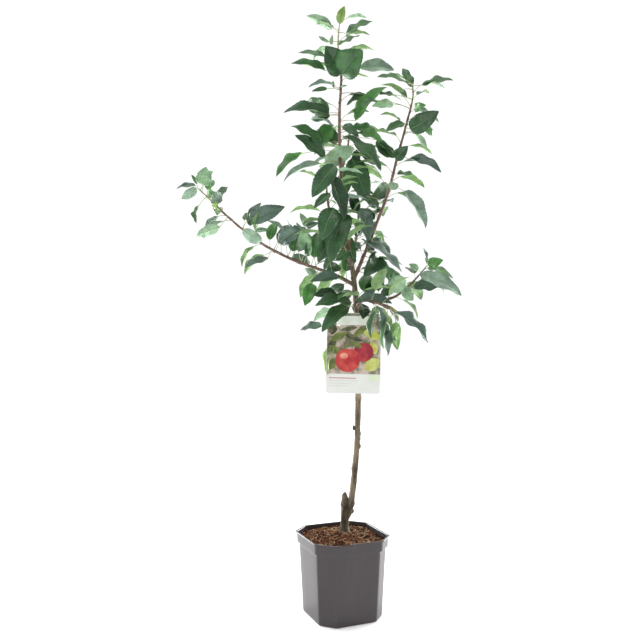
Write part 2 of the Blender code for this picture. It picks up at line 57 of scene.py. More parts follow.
# ------------------------------------------------------------ camera, light
scene = bpy.context.scene
cam_data = bpy.data.cameras.new("camera")
cam_data.sensor_width = 36.0
cam_data.lens = FOCAL / 640 * 36.0
cam = bpy.data.objects.new("camera", cam_data)
cam.location = (CAM_X, -DIST, CAM_Z)
cam.rotation_euler = (math.pi / 2, 0, 0)
scene.collection.objects.link(cam)
scene.camera = cam
scene.view_settings.view_transform = "Standard"
scene.view_settings.look = "None"
world = bpy.data.worlds.new("studio")
scene.world = world
world.use_nodes = True
sky = world.node_tree
sky.nodes["Background"].inputs["Color"].default_value = (1, 1, 1, 1)
around = sky.nodes.new("ShaderNodeTexCoord")
axes = sky.nodes.new("ShaderNodeSeparateXYZ")
fade = sky.nodes.new("ShaderNodeMapRange")
for key, value in (("From Min", -0.75), ("From Max", 0.15), ("To Min", 0.34), ("To Max", 1.06)):
    fade.inputs[key].default_value = value
sky.links.new(around.outputs["Generated"], axes.inputs[0])
sky.links.new(axes.outputs[1], fade.inputs["Value"])
sky.links.new(fade.outputs["Result"], sky.nodes["Background"].inputs["Strength"])


def lamp(name, place, aim, size, power):
    data = bpy.data.lights.new(name, "AREA")
    data.shape = "RECTANGLE"
    data.size, data.size_y = size
    data.energy = power
    obj = bpy.data.objects.new(name, data)
    obj.location = place
    obj.rotation_euler = (Vector(aim) - Vector(place)).to_track_quat("-Z", "Y").to_euler()
    scene.collection.objects.link(obj)
    return obj


lamp("back_left", (-3.0, 2.4, 0.7), (0, 0, 0.4), (2.4, 2.6), 320)
lamp("back_right", (3.0, 2.4, 0.7), (0, 0, 0.4), (2.4, 2.6), 320)
lamp("top", (-0.8, -0.8, 3.2), (0, 0, 0.6), (2.0, 2.0), 26)


# --------------------------------------------------------------- materials
def base_material(name, colour, rough, spec=0.5, coat=0.0):
    mat = bpy.data.materials.new(name)
    mat.use_nodes = True
    bsdf = mat.node_tree.nodes["Principled BSDF"]
    bsdf.inputs["Base Color"].default_value = (*colour, 1)
    bsdf.inputs["Roughness"].default_value = rough
    bsdf.inputs["Specular IOR Level"].default_value = spec
    if coat:
        bsdf.inputs["Coat Weight"].default_value = coat
        bsdf.inputs["Coat Roughness"].default_value = 0.3
    return mat, mat.node_tree, bsdf


def tint(tree, colour_a, colour_b, factor):
    mix = tree.nodes.new("ShaderNodeMix")
    mix.data_type = "RGBA"
    for socket, value in ((mix.inputs[6], colour_a), (mix.inputs[7], colour_b)):
        if isinstance(value, tuple):
            socket.default_value = (*value, 1)
        else:
            tree.links.new(value, socket)
    if isinstance(factor, float):
        mix.inputs[0].default_value = factor
    else:
        tree.links.new(factor, mix.inputs[0])
    return mix.outputs[2]


def noisy(tree, scale, detail=4.0, low=0.35, high=0.65, stretch=None, rough=0.6):
    coord = tree.nodes.new("ShaderNodeTexCoord")
    source = coord.outputs["Object"]
    if stretch:
        mapping = tree.nodes.new("ShaderNodeMapping")
        mapping.inputs["Scale"].default_value = stretch
        tree.links.new(source, mapping.inputs["Vector"])
        source = mapping.outputs["Vector"]
    tex = tree.nodes.new("ShaderNodeTexNoise")
    tex.inputs["Scale"].default_value = scale
    tex.inputs["Detail"].default_value = detail
    tex.inputs["Roughness"].default_value = rough
    tree.links.new(source, tex.inputs["Vector"])
    span = tree.nodes.new("ShaderNodeMapRange")
    span.inputs["From Min"].default_value = low
    span.inputs["From Max"].default_value = high
    tree.links.new(tex.outputs["Fac"], span.inputs["Value"])
    return span.outputs["Result"]


def bump(tree, bsdf, height, strength, distance):
    node = tree.nodes.new("ShaderNodeBump")
    node.inputs["Strength"].default_value = strength
    node.inputs["Distance"].default_value = distance
    tree.links.new(height, node.inputs["Height"])
    tree.links.new(node.outputs["Normal"], bsdf.inputs["Normal"])


def math_node(tree, op, a, b=None, c=None):
    node = tree.nodes.new("ShaderNodeMath")
    node.operation = op
    for socket, value in zip(node.inputs, (a, b, c)):
        if value is None:
            continue
        if isinstance(value, (int, float)):
            socket.default_value = value
        else:
            tree.links.new(value, socket)
    return node.outputs[0]


def veins(tree):
    """1 on the side veins of a leaf, whose UV map holds the way along it and across it."""
    uv = tree.nodes.new("ShaderNodeUVMap")
    uv.uv_map = "leaf"
    split = tree.nodes.new("ShaderNodeSeparateXYZ")
    tree.links.new(uv.outputs["UV"], split.inputs[0])
    side = math_node(tree, "ABSOLUTE", math_node(tree, "MULTIPLY_ADD", split.outputs[1], 2.0, -1.0))
    run = math_node(tree, "MULTIPLY_ADD", side, -1.9, math_node(tree, "MULTIPLY", split.outputs[0], 8.0))
    wave = math_node(tree, "ABSOLUTE", math_node(tree, "SUBTRACT", math_node(tree, "FRACT", run), 0.5))
    span = tree.nodes.new("ShaderNodeMapRange")
    span.inputs["From Min"].default_value = 0.42
    span.inputs["From Max"].default_value = 0.5
    tree.links.new(wave, span.inputs["Value"])
    return span.outputs["Result"]


# Leaf tones by letter. Tone B is painted backlight: a brighter, more saturated green for leaves lit through from
# behind, in place of translucency. Tone O is painted shade: the darkest copy of the same green, for leaves inside the
# crown near the trunk.
TOPS = {"D": (0.030, 0.092, 0.042), "M": (0.042, 0.135, 0.050), "B": (0.062, 0.215, 0.055),
        "P": (0.200, 0.360, 0.170), "G": (0.072, 0.130, 0.085), "O": (0.015, 0.048, 0.026),
        "Y": (0.230, 0.380, 0.070), "U": (0.290, 0.440, 0.270)}
UNDER = {"D": (0.150, 0.250, 0.145), "M": (0.180, 0.300, 0.160), "B": (0.210, 0.370, 0.170),
         "P": (0.330, 0.490, 0.290), "G": (0.180, 0.260, 0.175), "O": (0.100, 0.170, 0.100),
         "Y": (0.320, 0.470, 0.150), "U": (0.330, 0.480, 0.310)}
leaf_mats = {}
for tone in TOPS:
    for side, table in (("top", TOPS), ("under", UNDER)):
        c = table[tone]
        c = (c[0], c[1], c[2] * (0.75 if tone in "DMBO" else 1.12))
        mat, tree, bsdf = base_material(f"leaf_{tone.lower()}_{side}", c, 0.36 if side == "top" else 0.62,
                                        0.55 if side == "top" else 0.2)
        ground = tint(tree, tuple(v * 0.70 for v in c), tuple(min(1, v * 1.40) for v in c), noisy(tree, 34))
        pale = tuple(min(1, v * 1.5 + 0.035) for v in c)
        vein = veins(tree)
        soft = math_node(tree, "MULTIPLY", vein, 0.5 if side == "top" else 0.35)
        tree.links.new(tint(tree, ground, pale, soft), bsdf.inputs["Base Color"])
        bump(tree, bsdf, vein, 0.5, -0.0004 if side == "top" else 0.0005)
        leaf_mats[tone, side] = mat
rib_mat, tree, bsdf = base_material("leaf_midrib", (0.30, 0.42, 0.20), 0.5)
tree.links.new(tint(tree, (0.15, 0.26, 0.10), (0.27, 0.39, 0.18), noisy(tree, 60)), bsdf.inputs["Base Color"])
petiole_mat, tree, bsdf = base_material("petiole", (0.33, 0.40, 0.18), 0.45)
tree.links.new(tint(tree, (0.25, 0.34, 0.14), (0.45, 0.42, 0.24), noisy(tree, 25)), bsdf.inputs["Base Color"])


def bark_material(name, low, high, scale, stretch, rough, strength, distance, spots=None):
    mat, tree, bsdf = base_material(name, low, rough, 0.3)
    colour = tint(tree, low, high, noisy(tree, scale, 6, 0.38, 0.62, stretch))
    if spots:
        cell = tree.nodes.new("ShaderNodeTexVoronoi")
        cell.inputs["Scale"].default_value = 210
        coord = tree.nodes.new("ShaderNodeTexCoord")
        mapping = tree.nodes.new("ShaderNodeMapping")
        mapping.inputs["Scale"].default_value = (1, 1, 0.6)
        tree.links.new(coord.outputs["Object"], mapping.inputs["Vector"])
        tree.links.new(mapping.outputs["Vector"], cell.inputs["Vector"])
        near = tree.nodes.new("ShaderNodeMapRange")
        near.inputs["From Min"].default_value = 0.30
        near.inputs["From Max"].default_value = 0.14
        tree.links.new(cell.outputs["Distance"], near.inputs["Value"])
        colour = tint(tree, colour, spots, math_node(tree, "MULTIPLY", near.outputs["Result"], 0.55))
    tree.links.new(colour, bsdf.inputs["Base Color"])
    bump(tree, bsdf, noisy(tree, scale * 2.2, 8, 0.3, 0.7, stretch), strength, distance)
    return mat


bark_mat = bark_material("stem_bark", (0.060, 0.048, 0.034), (0.24, 0.19, 0.125), 85, (1, 1, 0.28), 0.8, 0.8, 0.0012,
                         (0.30, 0.27, 0.20))
upper_mat = bark_material("leader_bark", (0.105, 0.060, 0.045), (0.24, 0.155, 0.120), 70, (1, 1, 0.3), 0.55, 0.4, 0.0006,
                          (0.42, 0.34, 0.27))
green_mat = bark_material("green_shoot", (0.19, 0.21, 0.09), (0.33, 0.33, 0.16), 60, (1, 1, 0.3), 0.5, 0.3, 0.0004)


# ------------------------------------------------------------ mesh helpers
class Bag:
    """Many small closed shapes joined into one mesh."""

    def __init__(self, name, mats):
        self.name, self.mats = name, mats
        self.points, self.faces, self.slots, self.uv, self.count = [], [], [], [], 0

    def add(self, points, faces, slots, uv=None):
        self.points.append(np.asarray(points, float))
        self.faces += [tuple(i + self.count for i in f) for f in faces]
        self.slots += list(slots) if hasattr(slots, "__len__") else [slots] * len(faces)
        self.uv.append(np.asarray(uv, float) if uv is not None else np.zeros((len(points), 2)))
        self.count += len(points)

    def make(self, slot, body="root", smooth=True, layer=None):
        mesh = bpy.data.meshes.new(self.name)
        pts = np.concatenate(self.points)
        mesh.from_pydata([tuple(p) for p in pts], [], self.faces)
        for m in self.mats:
            mesh.materials.append(m)
        mesh.polygons.foreach_set("material_index", self.slots)
        mesh.polygons.foreach_set("use_smooth", [smooth] * len(self.faces))
        if layer:
            uvs = np.concatenate(self.uv)
            index = np.empty(len(mesh.loops), np.int32)
            mesh.loops.foreach_get("vertex_index", index)
            made = mesh.uv_layers.new(name=layer)
            made.data.foreach_set("uv", uvs[index].ravel())
        mesh.update()
        obj = bpy.data.objects.new(self.name, mesh)
        scene.collection.objects.link(obj)
        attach(obj, body)
        return obj


def frames(points):
    """A twist-free frame at each point of a run."""
    tangents = []
    for i in range(len(points)):
        a, b = points[max(0, i - 1)], points[min(len(points) - 1, i + 1)]
        tangents.append((b - a).normalized())
    side = tangents[0].orthogonal().normalized()
    out = []
    for t in tangents:
        side = (side - t * side.dot(t)).normalized()
        out.append((t, side, t.cross(side)))
    return out


def tube(bag, points, radii, sides, slot, relief=None, twist=0.0):
    """A closed tube round a run of points. relief(i, angle) scales the radius."""
    fr = frames(points)
    verts, faces = [], []
    for i, (p, r) in enumerate(zip(points, radii)):
        _, u, v = fr[i]
        for k in range(sides):
            a = 2 * math.pi * k / sides
            q = r * (relief(i, a) if relief else 1.0)
            verts.append(p + (u * math.cos(a) + v * math.sin(a)) * q)
    n = len(points)
    for i in range(n - 1):
        for k in range(sides):
            j = (k + 1) % sides
            faces.append((i * sides + k, i * sides + j, (i + 1) * sides + j, (i + 1) * sides + k))
    verts += [points[0] - fr[0][0] * radii[0] * 0.3, points[-1] + fr[-1][0] * radii[-1] * 0.8]
    for k in range(sides):
        j = (k + 1) % sides
        faces.append((n * sides, j, k))
        faces.append((n * sides + 1, (n - 1) * sides + k, (n - 1) * sides + j))
    slots = [slot(i) if callable(slot) else slot for i in range(n - 1) for _ in range(sides)]
    slots += [slot(0) if callable(slot) else slot, slot(n - 1) if callable(slot) else slot] * sides
    bag.add([tuple(v) for v in verts], faces, slots)


def smooth_run(points, steps):
    pts = [np.array(p, float) for p in points]
    pts = [2 * pts[0] - pts[1]] + pts + [2 * pts[-1] - pts[-2]]
    run = []
    for a, b, c, d in zip(pts, pts[1:], pts[2:], pts[3:]):
        for i in range(steps):
            t = i / steps
            run.append(0.5 * (2 * b + (c - a) * t + (2 * a - 5 * b + 4 * c - d) * t * t
                              + (3 * b - a - 3 * c + d) * t ** 3))
    run.append(pts[-2])
    return run


# ------------------------------------------------------------------- limbs
GROUND = 0.1712
LIMBS = {
    "trunk": ((8, 34, 196, 5.5), (17, 31, 218, 7.4), (24, 27, 262, 7.2), (32, 20, 345, 6.8), (35.5, 13, 434, 6.5),
              (35.5, 5, 580, 6.1), (28, 0, 715, 5.7), (14, 0, 820, 4.6), (-2, 0, 952, 3.8), (-6, 2, 1090, 3.2),
              (-2, 0, 1188, 2.6), (-9, 0, 1252, 1.7), (-6, 0, 1302, 1.0)),
    "bough_left": ((24, 0, 726, 4.2), (-18, 8, 748, 3.4), (-112, 24, 783, 3.0), (-190, 40, 826, 2.6),
                   (-252, 52, 876, 2.2), (-300, 60, 922, 1.6), (-330, 62, 950, 1.1)),
    "bough_right": ((27, 0, 740, 4.4), (46, -3, 785, 3.8), (70, -8, 845, 3.5), (100, -14, 926, 3.2),
                    (120, -18, 1002, 2.8), (140, -20, 1076, 2.4), (153, -20, 1128, 2.0), (153, -20, 1160, 1.3)),
    "bough_lower_right": ((31, 1, 689, 3.4), (62, 14, 692, 2.8), (112, 36, 696, 2.5), (150, 50, 722, 2.1),
                          (176, 58, 748, 1.6), (196, 60, 772, 1.0)),
    "bough_front_right": ((33, -1, 679, 3.2), (44, -30, 688, 2.8), (64, -64, 686, 2.5), (92, -96, 674, 2.0),
                          (112, -116, 662, 1.2)),
    "bough_front_left": ((21, -3, 767, 3.4), (2, -34, 800, 3.0), (-22, -74, 846, 2.6), (-34, -108, 902, 2.1),
                         (-36, -124, 946, 1.2)),
    "bough_back": ((18, 2, 777, 3.6), (28, 48, 812, 3.1), (40, 96, 866, 2.7), (42, 138, 930, 2.2), (36, 164, 990, 1.2)),
    "bough_back_high": ((-3, 2, 970, 3.0), (6, 38, 1006, 2.4), (16, 72, 1052, 2.0), (20, 94, 1100, 1.1)),
}
limb_runs = {}
for name, stations in LIMBS.items():
    limb_runs[name] = [(Vector(p[:3]) * MM, p[3] * MM) for p in smooth_run(stations, 26 if name == "trunk" else 18)]


def limb_relief(run, rough, seed, buds):
    def relief(i, a):
        p = run[i][0]
        q = Vector((math.cos(a) * 1.4, math.sin(a) * 1.4, p.z * 60 + seed))
        grain = noise.noise(Vector((math.cos(a) * 4, math.sin(a) * 4, p.z * 26 + seed))) * rough
        fine = noise.noise(q * 3.1) * rough * 0.6
        swell = sum(0.16 * math.exp(-((p.z - z) / 0.0045) ** 2) * (1 + math.cos(a - w)) for z, w in buds
                    if abs(p.z - z) < 0.016)
        return 1 + grain + fine + swell
    return relief


for number, (name, run) in enumerate(limb_runs.items()):
    turn = random.Random(60 + number)
    low, high = run[0][0].z, run[-1][0].z
    buds = [(low + (high - low) * (k + 0.5) / 14, k * 2.4) for k in range(14)]
    bag = Bag(name + "_bark", [bark_mat, upper_mat, green_mat])
    if name == "trunk":
        def slot(i, run=run):
            z = run[min(i, len(run) - 1)][0].z
            return 0 if z < 0.80 else (1 if z < 1.225 else 2)
    else:
        def slot(i, run=run):
            return 1 if i < 0.80 * len(run) else 2
    tube(bag, [p for p, _ in run], [r for _, r in run], 28 if name == "trunk" else 16, slot,
         limb_relief(run, 0.10 if name == "trunk" else 0.06, number * 7.0, buds))
    if name == "trunk":
        # rootstock, with its flare at the compost and the cut stub
        stock = smooth_run(((6.2, 35, GROUND * 1000 - 4, 14.0), (6.2, 35, GROUND * 1000 + 4, 11.2),
                            (6.4, 35, GROUND * 1000 + 16, 9.3), (7.2, 34.5, 215, 8.8), (7.0, 34.5, 242, 7.9),
                            (6.7, 34.8, 252, 6.6), (7.4, 35, 258, 3.2)), 8)
        stock = [(Vector(p[:3]) * MM, p[3] * MM) for p in stock]
        tube(bag, [p for p, _ in stock], [r for _, r in stock], 32, 0,
             limb_relief(stock, 0.14, 91.0, [(0.232, 3.0)]))
        for place, size in (((0.0235, 0.031, 0.218), 0.0050), ((0.0390, 0.016, 0.366), 0.0040),
                            ((0.0262, 0.014, 0.407), 0.0036), ((0.0290, 0.024, 0.300), 0.0036)):
            knot = [Vector(place) + Vector((0, 0, d)) for d in (-0.006, -0.003, 0, 0.003, 0.006)]
            tube(bag, knot, [size * f for f in (0.3, 0.8, 1.0, 0.75, 0.25)], 12, 0)
    obj = bag.make("stem_bark" if name == "trunk" else "shoot_bark")
    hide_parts(name)


# ------------------------------------------------------------------ leaves
NL = 24
CROSS = (-1.0, -0.72, -0.42, -0.16, -0.03, 0.03, 0.16, 0.42, 0.72, 1.0)


def leaf(bag, base, tip, width, normal, tone_slot, turn, fold=0.35, arch=0.10, wave=0.10, curl=0.0, bend=0.0):
    """A closed thin leaf from base to tip. normal is the way its upper side faces."""
    length = (tip - base).length
    along = (tip - base) / length
    up = (normal - along * normal.dot(along)).normalized()
    side = up.cross(along)
    phase, phase2 = turn.uniform(0, 6.28), turn.uniform(0, 6.28)
    top, uv = [], []
    for i in range(NL + 1):
        t = i / NL
        half = width / 2 * 2.46 * (t ** 0.55) * ((1 - t) ** 0.84) + 0.00025
        mid = base + along * (length * t) + up * (length * arch * math.sin(math.pi * t))
        mid += side * (length * bend * math.sin(math.pi * t)) - up * (curl * length * max(0.0, t - 0.62) ** 2 * 4)
        tooth = 1 + (0.035 if i % 2 else -0.02) * (0 < i < NL)
        for s in CROSS:
            h = half * s * (tooth if abs(s) == 1 else 1)
            if abs(s) < 0.1:
                h = math.copysign(min(0.00052 * (1.15 - t), half * 0.3), s)
            rise = abs(h) * math.tan(fold)
            ripple = wave * half * abs(s) ** 1.6 * math.sin(2 * math.pi * (2.1 * t) + (phase if s > 0 else phase2))
            quilt = 0.00035 * abs(math.sin(math.pi * (8 * t - 1.9 * abs(s)))) * (1 if 0.1 < abs(s) < 1 else 0)
            top.append(mid + side * (h * math.cos(fold)) + up * (rise * math.cos(fold) + ripple + quilt))
            uv.append((t, 0.5 + 0.5 * s))
    cols = len(CROSS)
    under = [p - up * 0.0003 for p in top]
    n = len(top)
    faces, slots = [], []
    for i in range(NL):
        for k in range(cols - 1):
            a, b = i * cols + k, i * cols + k + 1
            c, d = b + cols, a + cols
            faces.append((a, b, c, d))
            faces.append((n + d, n + c, n + b, n + a))
            rib = k == cols // 2 - 1
            slots += [2 if rib else 0, 2 if rib else 1]
    rim = ([i * cols for i in range(NL + 1)] + [NL * cols + k for k in range(1, cols)]
           + [i * cols + cols - 1 for i in range(NL - 1, -1, -1)] + list(range(cols - 2, 0, -1)))
    for a, b in zip(rim, rim[1:] + rim[:1]):
        faces.append((a, b, n + b, n + a))
        slots.append(1)
    base_slot = tone_slot
    slots = [base_slot * 2 + s if s < 2 else 2 * len(TONES) for s in slots]
    points = top + under
    for p in points:
        if p.y < -0.115:  # eased in, to keep to the part's depth
            p.y = -0.115 - 0.024 * math.tanh((-0.115 - p.y) / 0.024)
    bag.add([tuple(p) for p in points], faces, slots, uv + uv)
    return [top[i * cols + k] for i in range(0, NL + 1, 4) for k in (0, cols // 2, cols - 1)]


TONES = list(TOPS)
leaf_materials = [leaf_mats[t, s] for t in TONES for s in ("top", "under")] + [rib_mat]

# One row a leaf that shows: base and tip pixel, width in pixels, limb, true length in mm, side seen (t top, u under),
# tone, tip nearer (n) or further (f).
# Tone B in these rows is painted backlight, tone O painted shade.
LEAVES = """
339.5 23.6 344.6 6 9.6 trunk 42 t Y n|331.6 29 307 15.3 8 trunk 62 u P f|346.2 33.5 372 20 10 trunk 66 t M n
338.6 45.3 360 34.8 7 trunk 54 t M f|329 41.8 318.5 36.4 4.5 trunk 30 u P n|331.3 44.6 332.5 35 4 trunk 24 u P f
341.5 74.6 326 46 28 trunk 78 t D n|341.8 74.6 362 50 31 trunk 80 t M n|324.6 56.8 297.9 52.3 9 trunk 62 t M f
325.3 70.8 291.2 62.5 12 trunk 78 t M n|349.7 49.7 367.6 49 5 trunk 46 t M f|360 68.2 394.4 69.8 11 trunk 80 u G n
326.8 88.6 312.1 90.9 5.5 trunk 36 t M n|334 88 333 81 3 trunk 18 t P f|341.5 87 347 85.5 2.5 trunk 16 t P n
329 113 306 100 20 trunk 72 t M f|329.3 114.4 283.7 111.5 15 trunk 104 t D n|330 116 311 119 14 trunk 60 t D f
323.6 147.6 291.4 124.8 14 trunk 84 t M n|325 156 295.2 134.8 15 trunk 84 t D n|321.7 143.8 331 124 18 trunk 56 t B f
337.6 143 320 126 17 trunk 60 t D f|303.8 153.3 276 176.3 12 trunk 84 t B n|320.4 163.5 282.4 180 4.5 trunk 92 u G n
324.8 162.3 354 147.6 21 trunk 76 u P n|335 165 312 197 21 bough_front_left 90 t D n|330.4 193.6 313.8 207.6 9 bough_front_left 56 t D n
331 176 345 219 17 bough_front_left 98 t O n|352 158 368 202 23 trunk 104 t D n|334 208 322 240 22 bough_front_left 84 t D n
346 214 330 262 28 bough_front_left 112 t D n|336 228 318 262 20 bough_front_left 84 t D n|327 232 320 256 5 bough_front_left 62 u G n
349 251 336 260 12 trunk 44 t M n|352.7 244 361 250 7 trunk 34 t O f|351 252 355 262 6 trunk 30 t D n
355.5 120.8 385.5 85.4 15 trunk 104 t B n|366 95 346 105 8 trunk 52 t D f|343 126 359 137 11 trunk 48 t D n
352 130 376 129 11 trunk 62 t M f|360 132 382 140 13 trunk 66 t B n|344 136 382 169 16 trunk 120 t D n
377 140 389 158 12 trunk 52 t D f|360 152 381 164 14 trunk 64 t G f|357 150 356 168 9 trunk 52 t O f
348 168 344 196 16 trunk 74 t M f|407.6 83.8 377.7 75.5 9 bough_right 72 t M n|411.1 87.3 402.8 67.5 11 bough_right 52 t M f
422 85.7 452.9 79.3 9.5 bough_right 74 t M n|379.6 94.5 401 99.7 6.5 bough_right 56 t D f|400 90 407 97 5 bough_right 26 t G n
378.9 101 362 107 8 bough_right 48 t M n|393 104 372 106 7 bough_right 54 u P f|414.6 109.3 425 105 10 bough_right 40 t B n
410.2 129.1 438.9 111.2 21 bough_right 84 t D n|418 124 433 137 10 bough_right 50 t B f|415.9 134.2 427.4 148.2 4 bough_right 48 u P n
404 123 386 131 10 bough_right 50 t M n|394 158 381 144 13 bough_right 46 t D f|395 158 408 146 14 bough_right 46 t D n
408.8 159 441.4 171.3 14 bough_right 88 t G n|397.3 174.4 419.7 180 7 bough_right 60 t M f|404.4 191 427.3 228 9 bough_right 100 u G n
388 184 372 200 15 bough_right 60 u G f|390 182 396 190 10 bough_right 36 u P n|352 194 358 214 12 trunk 52 t O f
366 196 378 208 12 bough_right 46 t D f|362 208 368 242 16 bough_right 80 t G n|359 226 356 238 7 trunk 40 t D f
361.6 239.5 402.4 271.4 10 bough_right 124 t G n|371.8 239.5 390 255 10 bough_right 66 t D f|380 256 364 276 21 bough_right 76 t D n
380.8 263.7 394 283 12 bough_right 62 t M f|374 278 366 296 14 bough_right 64 t D f|366 244 374 252 8 bough_right 34 t O f
392 292 404 276 18 bough_lower_right 60 u P n|380.8 294.5 394 286.5 11 bough_lower_right 46 t D f|404 285 413 301 12 bough_lower_right 46 u P n
413.9 288 444 285 13 bough_lower_right 76 t G f|420 275 462.4 294.3 13 bough_lower_right 108 u G n|428 268 452.8 277 6 bough_lower_right 66 u G f
428 265 443 260 12 bough_lower_right 44 t B n|426.7 263.7 423.5 247.1 4 bough_lower_right 42 t G f|418 270 409 264 7 bough_lower_right 26 t P n
279.2 242.9 304.7 227.6 17 bough_left 72 t G n|284 230 268 220.4 4 bough_left 46 u G f|249.1 219.4 284.3 206.6 18 bough_left 88 t G n
243 229.6 263 241.8 13 bough_left 60 u U n|255 231 270 230 5 bough_left 42 u G f|268 257.7 245 266 8 bough_left 60 t G n
292.4 256 311 263 11 bough_left 50 t G f|204.2 185.2 206 167 18 bough_left 48 t P n|197 184 191.4 174.5 3.5 bough_left 26 t M f
195.5 185.7 175.6 187.8 5.5 bough_left 50 t G f|196.5 187.8 181.7 199 11 bough_left 44 u U n|207 200 208 185 8 bough_left 40 u U f
211 203 221.5 193 13 bough_left 40 u G n|214 208 217 203 6 bough_left 18 t Y n|199 205.6 196.5 223 7 bough_left 46 t M n
220 227 196.5 236 11 bough_left 64 u P n|306.7 226 300 213.3 8 bough_left 34 u P f|306.7 226 318 223 8 bough_left 34 t G n
306 250 303 228 14 bough_left 58 t P n|308 254 313 236 12 bough_left 52 t P f|314 256 318 232 13 bough_left 60 t M f
300 232 310 256 9 bough_left 60 u P n|312.5 284 304.9 305.2 14 bough_left 60 t B n|337.4 276 311 281 13 bough_left 72 t G n
316 276 305 268 9 bough_left 34 u U f|341 270 324 263 12 bough_left 50 t D f|344 284 332 294 14 trunk 48 t D f
336 293 314.4 295.6 11 trunk 62 t O n|351.4 302 315.7 304.5 13 trunk 88 t D n|352 292 334 299 11 trunk 54 t G f
356.5 300 392.2 303.3 13 trunk 90 t G n|364 309 363 319 12 bough_front_right 34 t O n|378 306 380 330 9 bough_front_right 60 t G n
380 322 388 356 9 bough_front_right 84 u G n|395.4 312.2 429 342.3 11 bough_front_right 104 t G n|383 332 396 340 7 bough_front_right 40 t G n
347 306 321.7 331 16 trunk 90 t D n|322 326.6 300 330.4 8 trunk 58 t G f|330 309 314 320 9 trunk 50 u P f
336 340 326 374 9 trunk 82 t Y n|352 306 372 312 13 trunk 56 t O f|349 300 340 312 11 trunk 40 t D f
"""
rows = [r.split() for line in LEAVES.strip().splitlines() for r in line.split("|")]
bags = {}


def bag_for(kind):
    if kind not in bags:
        bags[kind] = Bag(kind, leaf_materials)
    return bags[kind]


stalks = Bag("petioles", [petiole_mat, green_mat])
covered = set()
turn = random.Random(5)


def nearest_on(limb, px, py):
    """The limb's point that shows nearest to this pixel."""
    return min(limb_runs[limb][4:], key=lambda row: (seen(row[0])[0] - px) ** 2 + (seen(row[0])[1] - py) ** 2)


def stalk(start, end, width=0.0007, sag=0.06):
    """A petiole from a limb to a leaf's base, in a light curve, with a thicker foot."""
    chord = end - start
    rise = Vector((0, 0, 1)) * chord.length * sag
    pts = [start + chord * t + rise * math.sin(math.pi * t) for t in [i / 7 for i in range(8)]]
    tube(stalks, pts, [width * (1.5 - 0.6 * min(1, i / 3)) for i in range(8)], 7, 0)


TO_CAM = Vector((0, -1, 0))
for index, row in enumerate(rows):
    bx, by, tx, ty, wide = map(float, row[:5])
    limb, true, side, tone, way = row[5], float(row[6]) * MM, row[7], row[8], row[9]
    foot, radius = nearest_on(limb, bx, by)
    # the base stands off the limb by its petiole; a hidden part of the stalk runs towards or away from the viewer
    flat = (at(bx, by, foot.y) - foot).length
    stalk_length = max(flat, turn.uniform(0.016, 0.026))
    off = math.sqrt(max(0.0, stalk_length ** 2 - flat ** 2))
    y = max(-0.128, foot.y + (-off if way == "n" else off))
    base = at(bx, by, y)
    shown = (at(tx, ty, y) - base).length
    depth = math.sqrt(max(0.0, true ** 2 - shown ** 2))
    depth = min(depth, 0.055)
    tip = at(tx, ty, max(-0.130, min(0.20, y + (-depth if way == "n" else depth))))
    length = (tip - base).length
    axis = (tip - base) / length
    p = (TO_CAM - axis * TO_CAM.dot(axis)).normalized()
    q = axis.cross(p)
    scale = (DIST + y) / FOCAL
    width = max(wide * scale, length * 0.46 if wide > 6 else length * 0.30)
    lean = math.acos(max(0.12, min(1.0, wide * scale / width)))
    choices = [(p * math.cos(lean) + q * s * math.sin(lean)) * (1 if side == "t" else -1) for s in (-1, 1)]
    normal = max(choices, key=lambda v: v.z)
    bag = bag_for("leaves_a" if index % 2 else "leaves_b")
    marks = leaf(bag, base, tip, width, normal, TONES.index(tone), turn, fold=turn.uniform(0.20, 0.58),
                 arch=turn.uniform(0.02, 0.10), wave=turn.uniform(0.08, 0.24), curl=turn.uniform(0.0, 0.14),
                 bend=turn.uniform(-0.05, 0.05))
    stalk(foot, base)
    for m in marks:
        mx, my = seen(m)
        for dx in (-1, 0, 1):
            for dy in (-1, 0, 1):
                covered.add((int(mx // 5) + dx, int(my // 5) + dy))

# The sides that the view doesn't show: leaves by the same 2/5 turn at each node, kept where the crown has leaves.
grown = random.Random(17)
placed = 0
for limb, run in limb_runs.items():
    spacing = {"trunk": 0.020}.get(limb, 0.015)
    travelled, last, angle = 0.0, run[0][0], grown.uniform(0, 6.28)
    for i, (p, r) in enumerate(run):
        travelled += (p - last).length
        last = p
        if travelled < spacing or (limb == "trunk" and p.z < 0.69) or i < 5:
            continue
        travelled = 0.0
        for attempt in range(9):
            angle += 2.513 if attempt == 0 else 0.7
            t = (run[min(i + 1, len(run) - 1)][0] - run[i - 1][0]).normalized()
            u = t.orthogonal().normalized()
            out = (u * math.cos(angle) + t.cross(u) * math.sin(angle)).normalized()
            if out.y < -0.25 and limb not in ("bough_front_left", "bough_front_right"):
                continue
            share = i / len(run)
            size = grown.uniform(0.062, 0.086) * (1 - 0.35 * share)
            base = p + (out + t * 0.7 + Vector((0, 0, 0.25))).normalized() * grown.uniform(0.020, 0.030)
            aim = (out + t * 0.35 + Vector((0, 0, grown.uniform(-0.55, 0.15)))).normalized()
            tip = base + aim * size
            tests = [seen(base.lerp(tip, k / 4)) for k in range(5)]
            if sum((int(a // 5), int(b // 5)) in covered for a, b in tests) < 5:
                continue
            if min(base.y, tip.y) < -0.126 or max(base.y, tip.y) > 0.215:
                continue
            normal = (Vector((0, 0, 1)) + out * 0.5 - aim * 0.3).normalized()
            # B among these picks the painted-backlight green.
            tone = grown.choice("DDMMGB") if share < 0.8 else grown.choice("MBP")
            leaf(bag_for("leaves_c" if placed % 2 else "leaves_d"), base, tip, size * grown.uniform(0.44, 0.54), normal,
                 TONES.index(tone), grown, fold=grown.uniform(0.15, 0.4), arch=grown.uniform(0.03, 0.12),
                 wave=grown.uniform(0.05, 0.15), curl=grown.uniform(0, 0.15))
            stalk(p, base)
            placed += 1
            break
print("leaves", len(rows), "shown,", placed, "grown")

